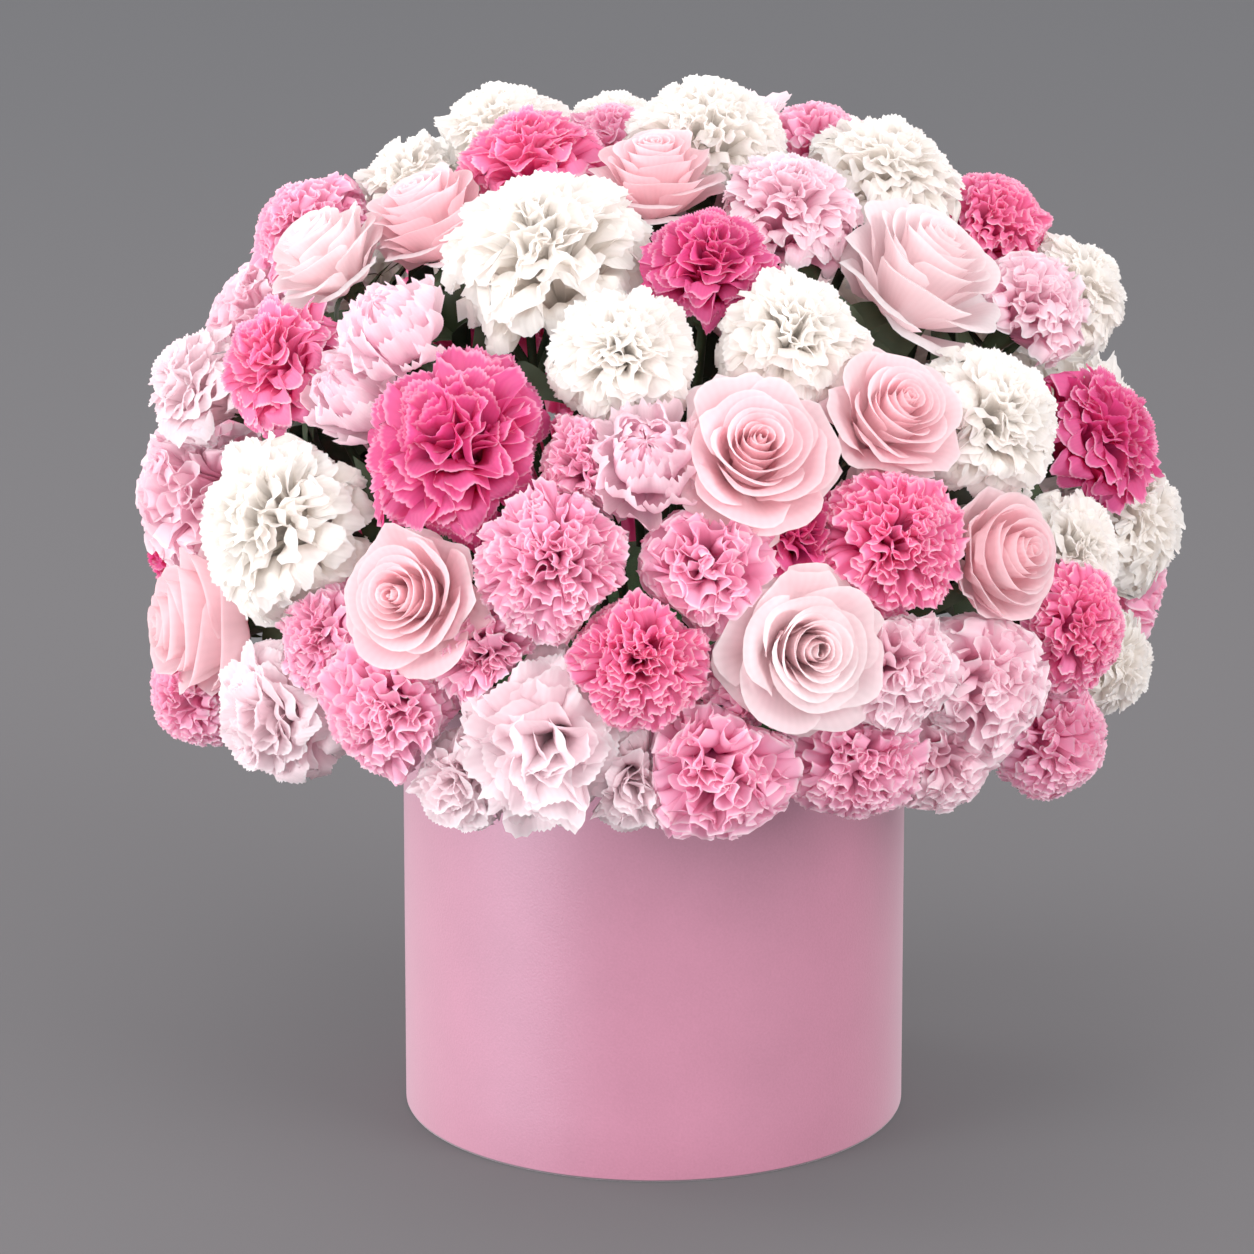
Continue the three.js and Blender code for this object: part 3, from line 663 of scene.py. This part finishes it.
def petal_paint(colour):
    """Thin petal skin: deep at the claw, pale at the rim, veined lengthwise, with light coming through."""
    is_hearted = colour in HEARTED
    is_thin = is_hearted or colour == "white"
    veins, depth_of_veins, chance_turn = 95.0 if is_hearted else 60.0, 0.04, 20.0
    usual_shade, cloud_scale, cloud_depth, petal_depth = 0.94, 60.0, 0.16, 0.08
    tones = {part: linear(code) for part, code in PETAL_COLOURS[colour].items()}
    m = Paint(f"{colour}_petal")
    across, along = m.uv("petal")
    chance, rank = m.uv("bloom")
    opened = rank.ramp(-0.4, 0.6) if is_hearted else 1.0
    blade = m.blend(along.ramp(0.15, 0.85) * opened, tones["claw"], tones["blade"])
    skin = m.blend(along.ramp(0.9, 1.0), blade, tones["rim"])
    ribs = (across * veins + chance * chance_turn).sin() * depth_of_veins
    cloud = (m.noise(cloud_scale, 0.0) - 0.5) * cloud_depth
    shade = usual_shade + ribs + cloud + (chance - 0.5) * petal_depth
    skin = m.node("ShaderNodeVectorMath", {0: skin, 1: shade}, operation="MULTIPLY")
    front = m.surface({"Base Color": skin, "Roughness": 0.62, "Specular IOR Level": 0.3})
    through = m.node("ShaderNodeBsdfTranslucent", {"Color": tones["through"]})
    share = 0.6 if is_thin else 0.5
    return m.close(m.node("ShaderNodeMixShader", {0: share, 1: front, 2: through}))


FOOT_SHADOW_HEIGHTS = (0.8 * MM, 1.4 * MM)  # the heights between which the contact shadow painted at a foot fades out


def plain_paint(name, dark, light, scale, relief, values, foot=None):
    """Two tones mixed by a fine grain, which also makes the relief. foot is the colour of a shadow painted
    along the bottom edge.
    """
    grain_share, cloud_size = 0.6, 40
    m = Paint(name)
    grain = m.noise(scale, 4.0)
    cloud = m.noise(scale / cloud_size, 2.0)
    tone = m.blend(grain * grain_share + cloud * (1 - grain_share), linear(dark), linear(light))
    if foot:
        # painted contact shadow: the lowest millimetre or so of the surface fades to the dark foot colour
        height = m.node("ShaderNodeSeparateXYZ", {"Vector": m.place}, out="Z")
        tone = m.blend(height.ramp(*FOOT_SHADOW_HEIGHTS), linear(foot), tone)
    normal = m.bump(grain, *relief)
    return m.close(m.surface({"Base Color": tone, "Normal": normal, **values}))


def box_paper():
    """Matt suede-like pink paper: a very fine even nap with faint clouds in it, and a contact shadow painted
    along its foot.
    """
    shine = {
        "Roughness": 0.5, "IOR": 1.7, "Specular IOR Level": 1.0, "Specular Tint": linear("#f0eaff"),
    }
    nap = {"Sheen Weight": 0.5, "Sheen Roughness": 0.5, "Sheen Tint": linear("#f6e6ee")}
    relief = (0.6, 0.15 * MM)
    # 24100f is the colour of the contact shadow painted along the paper's foot
    return plain_paint("suede_paper", "#7c3048", "#aa5370", 1000.0, relief, {**shine, **nap}, "#24100f")


def leaf_green():
    """Dull dark green of stems, calyxes and leaves."""
    return plain_paint("leaf_green", "#12190c", "#222d19", 160.0, (0.2, 0.2 * MM),
                       {"Roughness": 0.7, "Specular IOR Level": 0.15})


def foam_green():
    """Soaked flower foam with its open cells."""
    return plain_paint("flower_foam", "#1f3a20", "#3f6b3c", 700.0, (0.9, 0.6 * MM), {"Roughness": 0.9})


def milky_plastic():
    """The liner's smooth, cloudy skin."""
    return plain_paint("milky_plastic", "#d6dbd7", "#e4e8e4", 90.0, (0.05, 0.1 * MM), {"Roughness": 0.35})


def lining_paper():
    """The base board's dull pink lining."""
    return plain_paint("lining_paper", "#bd8299", "#c98fa9", 600.0, (0.3, 0.15 * MM), {"Roughness": 0.9})


# Pieces

BOX_SIDES = 160
CUP_SIDES = 120
WALL_ROWS = 8
CAP_ROWS = 16
SEAM_TURN = math.radians(90)  # the paper's overlap starts at the back
OVERLAP = math.radians(6)
PAPER = 0.3 * MM
LINER_CLEARANCE = 0.3 * MM
LINER_SKIN = 0.8 * MM
WALL_ROUNDING, BOARD_ROUNDING, LINER_ROUNDING, FOAM_ROUNDING = 1.1 * MM, 0.4 * MM, 0.35 * MM, 3 * MM
CELL_DEPTH = 0.35 * MM


def turned(name, profile, sides, ripple=None):
    """A closed body turned round the box's axis from its outline of (radius, height) points.

    An outline that starts and ends on the axis is closed there. Any other is a ring's.
    """
    rings = [(r, z) for r, z in profile if r > 0]
    corners, faces = [], []
    for r, z in rings:
        for k in range(sides):
            angle = 2 * math.pi * k / sides
            reach = r + (ripple(angle, z) if ripple else 0)
            corners.append((reach * math.cos(angle), reach * math.sin(angle), z))
    count = len(rings)
    is_ring = count == len(profile)
    for i in range(count if is_ring else count - 1):
        for k in range(sides):
            a, b = i * sides + k, i * sides + (k + 1) % sides
            c, d = ((i + 1) % count) * sides + (k + 1) % sides, ((i + 1) % count) * sides + k
            faces.append((a, b, c, d))
    if not is_ring:
        for (r, z), row, is_lower in ((profile[0], 0, True), (profile[-1], count - 1, False)):
            middle = len(corners)
            corners.append((0, 0, z))
            for k in range(sides):
                a, b = row * sides + k, row * sides + (k + 1) % sides
                faces.append((b, a, middle) if is_lower else (a, b, middle))
    mesh = bpy.data.meshes.new(name)
    mesh.from_pydata(corners, [], faces)
    mesh.shade_smooth()
    made = bpy.data.objects.new(name, mesh)
    bpy.context.scene.collection.objects.link(made)
    return made


def rounded(corners, radius, steps=4):
    """An outline of (radius, height) points with its corners rounded where a point has a third value."""
    path = []
    for i, corner in enumerate(corners):
        here = Vector(corner[:2])
        if len(corner) == 2:
            path.append(tuple(here))
            continue
        before = (Vector(corners[i - 1][:2]) - here).normalized() * radius
        after = (Vector(corners[(i + 1) % len(corners)][:2]) - here).normalized() * radius
        for k in range(steps + 1):
            share = k / steps
            path.append(tuple(here + before * (1 - share) ** 2 + after * share**2))
    return path


def finished(piece, material, slot, *nodes):
    piece.data.materials.append(material)
    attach(piece, "root")
    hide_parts(*nodes)


def box_cover():
    """The papered tube. The end of the paper laps over its start."""
    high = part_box("box_wall")[1]
    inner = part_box("liner")[1].x + LINER_CLEARANCE

    def lap(angle, z):
        past = (angle - SEAM_TURN) / OVERLAP
        return PAPER * (1 - past) if 0 <= past <= 1 else 0

    side = [(high.x, high.z * k / WALL_ROWS) for k in range(1, WALL_ROWS)]
    edge = [(inner, 0, 1), (high.x, 0, 1), *side, (high.x, high.z, 1), (inner, high.z, 1)]
    wall = turned("box_cover", rounded(edge, WALL_ROUNDING), BOX_SIDES, lap)
    finished(wall, box_paper(), "box_cover", "box_wall")


def base_board():
    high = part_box("box_base")[1]
    edge = [(0, 0), (high.x, 0, 1), (high.x, high.z, 1), (0, high.z)]
    board = turned("base_board", rounded(edge, BOARD_ROUNDING), CUP_SIDES)
    finished(board, lining_paper(), "base_board", "box_base")


def plastic_liner():
    low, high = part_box("liner")
    inner, floor = high.x - LINER_SKIN, low.z + LINER_SKIN
    outside = [(0, low.z), (high.x, low.z, 1), (high.x, high.z, 1)]
    cup = [*outside, (inner, high.z, 1), (inner, floor), (0, floor)]
    liner = turned("plastic_liner", rounded(cup, LINER_ROUNDING), CUP_SIDES)
    finished(liner, milky_plastic(), "liner", "liner")


def wet_foam():
    """The foam's block with its low round cap and the open cells of its skin."""
    low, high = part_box("foam")
    rise = high.z - FOAM_SHOULDER
    ball = (high.x**2 + rise**2) / (2 * rise)
    reaches = [high.x * math.cos(k / CAP_ROWS * math.pi / 2) for k in range(CAP_ROWS)]
    cap = [(reach, high.z - ball + math.sqrt(ball**2 - reach**2)) for reach in reaches]

    def cells(angle, z):
        return CELL_DEPTH * math.sin(37 * angle + 900 * z) * math.sin(23 * angle - 700 * z)

    outline = rounded([(0, low.z), (high.x, low.z, 1), *cap, (0, high.z)], FOAM_ROUNDING)
    finished(turned("wet_foam", outline, CUP_SIDES, cells), foam_green(), "foam", "foam")


def modified(name, carrier, tree, values):
    """A carrier mesh with a tree run on it, as a plain object."""
    holder = bpy.data.objects.new(name, carrier)
    bpy.context.scene.collection.objects.link(holder)
    modifier = holder.modifiers.new("shape", "NODES")
    modifier.node_group = tree.tree
    for label, value in values.items():
        modifier[tree.identifiers[label]] = value
    bpy.context.view_layer.update()
    evaluated = holder.evaluated_get(bpy.context.evaluated_depsgraph_get())
    holder.data = bpy.data.meshes.new_from_object(evaluated)
    holder.modifiers.clear()
    return holder


def carrier_points(places, axes, lengths):
    """Points with what a petal's tree reads at each: where its own space is, its turn and its size."""
    sides = [Vector(axis).orthogonal().normalized() for axis in axes]
    attributes = {
        "centre": ("FLOAT_VECTOR", places), "axis": ("FLOAT_VECTOR", axes), "side": ("FLOAT_VECTOR", sides),
        "head_radius": ("FLOAT", lengths), "head": ("INT", range(len(places))),
    }
    mesh = bpy.data.meshes.new("carrier")
    mesh.from_pydata(places, [], [])
    for label, (kind, values) in attributes.items():
        layer = mesh.attributes.new(label, kind, "POINT")
        key = "vector" if kind == "FLOAT_VECTOR" else "value"
        layer.data.foreach_set(key, np.ravel(values))
    return mesh


def head_points(heads, back=0.0, share=1.0):
    """A point at each head's centre, or set back from it, with that share of the head's size."""
    places = [head.centre - head.axis * head.radius * back for head in heads]
    return carrier_points(places, [head.axis for head in heads], [head.radius * share for head in heads])


def petals_piece(flower, seed, tree, style, material):
    """A flower's petals, pressed back where its heads touch others."""
    inputs = {**style, "Seed": seed, "Material": material}
    piece = modified(f"{flower.name}_petals", head_points(flower.heads), tree, inputs)
    mesh = piece.data
    places = points_of(mesh)
    owner = np.zeros(len(places), int)
    petals = np.zeros(len(places), int)
    mesh.attributes["head"].data.foreach_get("value", owner)
    mesh.attributes["petal_id"].data.foreach_get("value", petals)
    for k, head in enumerate(flower.heads):
        places[owner == k] = press(head, places[owner == k], petals[owner == k])
    mesh.vertices.foreach_set("co", places.ravel())
    for label in [a.name for a in mesh.attributes if a.domain == "POINT" and not a.is_required]:
        mesh.attributes.remove(mesh.attributes[label])
    mesh.update()
    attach(piece, "root")
    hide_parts(flower.name)


def stems_piece(flowers, tree, material):
    """Each stem from its foot to its head, or to its fork and on to each head of a spray."""
    corners, edges = [], []
    for flower in flowers:
        runs = [(flower.foot, flower.heads[0].foot)]
        if flower.fork is not None:
            runs = [(flower.foot, flower.fork), *((flower.fork, head.foot) for head in flower.heads)]
        for run in runs:
            edges.append((len(corners), len(corners) + 1))
            corners.extend(run)
    mesh = bpy.data.meshes.new("stem_lines")
    mesh.from_pydata(corners, edges, [])
    piece = modified("stems", mesh, tree, {"Radius": STEM_RADIUS, "Material": material})
    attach(piece, "root")


def calyx_piece(heads, tree, material):
    piece = modified("calyxes", head_points(heads), tree, {**CALYX, "Seed": 1, "Material": material})
    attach(piece, "root")


SEPALS = {**BLADE, "Petals": 5, "Width": 0.12, "Lean": 60.0, "Bend": 50.0}
SEPAL_BACK = 0.62
SEPAL_LENGTH = 0.7


def sepals_piece(heads, tree, material):
    points = head_points(heads, SEPAL_BACK, SEPAL_LENGTH)
    piece = modified("sepals", points, tree, {**SEPALS, "Seed": 2, "Material": material})
    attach(piece, "root")


LEAVES = {**BLADE, "Petals": 3, "Width": 0.19, "Lean": 10.0, "Bend": 55.0}
LEAF_LENGTH = 50 * MM
LEAF_SUNK = 0.75  # the share of a leaf that is below the point that was found for it
LEAF_DEPTH = 34 * MM  # how far under the dome's surface the gaps are looked for
LEAF_LATTICE = 900
LATTICE_DROP = 1.15  # from the dome's top to a little below its widest
NARROWEST_GAP = 5 * MM
LEAF_SPACING = 17 * MM


def gap_places(heads):
    """Where the dome has gaps between the heads, and the way out of it there."""
    found = []
    for k in range(LEAF_LATTICE):
        rise = 1 - LATTICE_DROP * (k + 0.5) / LEAF_LATTICE
        ring = math.sqrt(1 - rise * rise)
        way = np.array((ring * math.cos(k * GOLDEN_TURN), ring * math.sin(k * GOLDEN_TURN), rise))
        place = way * (DOME_SIZE - LEAF_DEPTH) + (0, 0, DOME_CENTRE_Z)
        clear = min(np.linalg.norm(head.centre - place) - head.radius for head in heads)
        apart = min((np.linalg.norm(other - place) for other, _ in found), default=1)
        if clear > NARROWEST_GAP and apart > LEAF_SPACING:
            found.append((place, way))
    return found


def leaves_piece(heads, tree, material):
    """Leaves in the gaps between the heads."""
    gaps = gap_places(heads)
    places = [place - way * LEAF_LENGTH * LEAF_SUNK for place, way in gaps]
    points = carrier_points(places, [way for _, way in gaps], [LEAF_LENGTH] * len(gaps))
    piece = modified("leaves", points, tree, {**LEAVES, "Seed": 3, "Material": material})
    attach(piece, "root")


# Stage

# Each light's place, the point it is turned to, its width, its power in watts and its colour.
LIGHTS = {
    "key": ((-2.5, -2.2, 1.9), (0, 0, 0.28), 1.5, 42, (1.0, 0.99, 0.98)),
    "side": ((-3.0, -1.6, 0.5), (0, 0, 0.1), 1.8, 172, (0.95, 1.0, 1.02)),
    "back": ((-2.8, 1.2, 0.6), (0, 0, 0.15), 1.6, 70, (1.0, 0.99, 0.99)),
    "fill": ((2.6, -1.9, 1.9), (0, 0, 0.3), 2.0, 130, (1.0, 0.99, 1.0)),
    "front": ((0.4, -3.4, 1.3), (0, 0, 0.3), 2.5, 42, (1.0, 0.99, 0.99)),
    "top": ((-0.3, -1.2, 3.2), (0, 0, 0.3), 2.0, 38, (1.0, 0.99, 0.98)),
}
ROOM_LIGHT = ("#d6d6da", 2.05)
FLOOR_HALF = 8.0
FLOOR_TONES = ("#3a3739", "#303033")  # near and far: the far tone is a painted shade, darker behind the box
FLOOR_SHADE_SPAN = (0.4, 2.4)  # how far behind the box the painted shade takes the floor from one tone to the other


def camera():
    data = bpy.data.cameras.new("camera")
    data.sensor_width = SENSOR
    data.lens = VIEW_DISTANCE * SENSOR / (VIEW_PIXELS * VIEW_MM_PER_PIXEL * MM)
    made = bpy.data.objects.new("camera", data)
    bpy.context.scene.collection.objects.link(made)
    back = Vector((0, -math.cos(VIEW_ELEVATION), math.sin(VIEW_ELEVATION)))
    made.location = VIEW_AIM + back * VIEW_DISTANCE
    made.rotation_euler = (math.pi / 2 - VIEW_ELEVATION, 0, 0)
    bpy.context.scene.camera = made


def area_light(name, place, target, size, power, colour):
    data = bpy.data.lights.new(name, "AREA")
    data.shape = "DISK"
    data.size = size
    data.energy = power
    data.color = colour
    made = bpy.data.objects.new(name, data)
    bpy.context.scene.collection.objects.link(made)
    made.location = place
    made.rotation_euler = (Vector(target) - Vector(place)).to_track_quat("-Z", "Y").to_euler()


def studio_floor():
    corners = [(x * FLOOR_HALF, y * FLOOR_HALF, 0) for x, y in ((-1, -1), (1, -1), (1, 1), (-1, 1))]
    mesh = bpy.data.meshes.new("floor")
    mesh.from_pydata(corners, [], [(0, 1, 2, 3)])
    floor = bpy.data.objects.new("floor", mesh)
    bpy.context.scene.collection.objects.link(floor)
    m = Paint("studio_floor")
    grain = m.noise(3.0)
    # painted shade: the floor's tone darkens with its distance behind the box
    painted_floor_shade = m.node("ShaderNodeSeparateXYZ", {"Vector": m.place}, out="Y").ramp(*FLOOR_SHADE_SPAN)
    tone = m.blend(painted_floor_shade * 0.9 + grain * 0.1, *(linear(code) for code in FLOOR_TONES))
    floor.data.materials.append(m.close(m.surface({"Base Color": tone, "Roughness": 0.9})))


def studio_light():
    for name, values in LIGHTS.items():
        area_light(name, *values)
    colour, strength = ROOM_LIGHT
    world = bpy.data.worlds.new("studio")
    bpy.context.scene.world = world
    world.use_nodes = True
    inputs = world.node_tree.nodes["Background"].inputs
    inputs["Color"].default_value = linear(colour)
    inputs["Strength"].default_value = strength


def picture_tones():
    """The picture's contrast, and how often light is followed between the petals."""
    scene = bpy.context.scene
    scene.view_settings.view_transform = "Standard"
    scene.view_settings.gamma = 1.4
    scene.view_settings.exposure = -0.35
    scene.cycles.diffuse_bounces = 3
    scene.cycles.transmission_bounces = 5
    scene.cycles.max_bounces = 7


# The whole object and its stage


def flower_pieces(flowers):
    heads = [head for flower in flowers for head in flower.heads]
    find_neighbours(heads)
    trees = {"carnation": carnation_tree(), "rose": rose_tree()}
    trees["peony"] = trees["rose"]
    paints = {colour: petal_paint(colour) for colour in PETAL_COLOURS}
    for seed, flower in enumerate(flowers):
        usual = STYLES.get(flower.kind) or STYLES[flower.colour]
        style = EXCEPTIONS.get(flower.number, usual)
        paint = paints[TINTS.get(flower.number, flower.colour)]
        petals_piece(flower, seed, trees[flower.kind], style, paint)
    green = leaf_green()
    stems_piece(flowers, stem_tree(), green)
    calyx_piece(heads, calyx_tree(), green)
    blades = blade_tree()
    with_sepals = [head for flower in flowers if flower.kind != "carnation" for head in flower.heads]
    sepals_piece(with_sepals, blades, green)
    leaves_piece(heads, blades, green)


def corners(box):
    return [list(corner) for corner in box]


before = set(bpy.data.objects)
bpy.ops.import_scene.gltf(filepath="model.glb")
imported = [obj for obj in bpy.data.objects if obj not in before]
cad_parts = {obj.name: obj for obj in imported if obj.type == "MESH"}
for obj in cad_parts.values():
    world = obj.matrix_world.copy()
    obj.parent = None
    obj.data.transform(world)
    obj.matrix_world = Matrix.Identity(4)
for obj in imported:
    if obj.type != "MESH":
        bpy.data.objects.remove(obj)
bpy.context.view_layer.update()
picture_tones()
camera()
studio_floor()
studio_light()
box_cover()
base_board()
plastic_liner()
wet_foam()
flower_pieces([read_flower(name, node) for name, node in sorted(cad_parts.items())
               if name.split("_")[0] in FLOWER_KINDS])
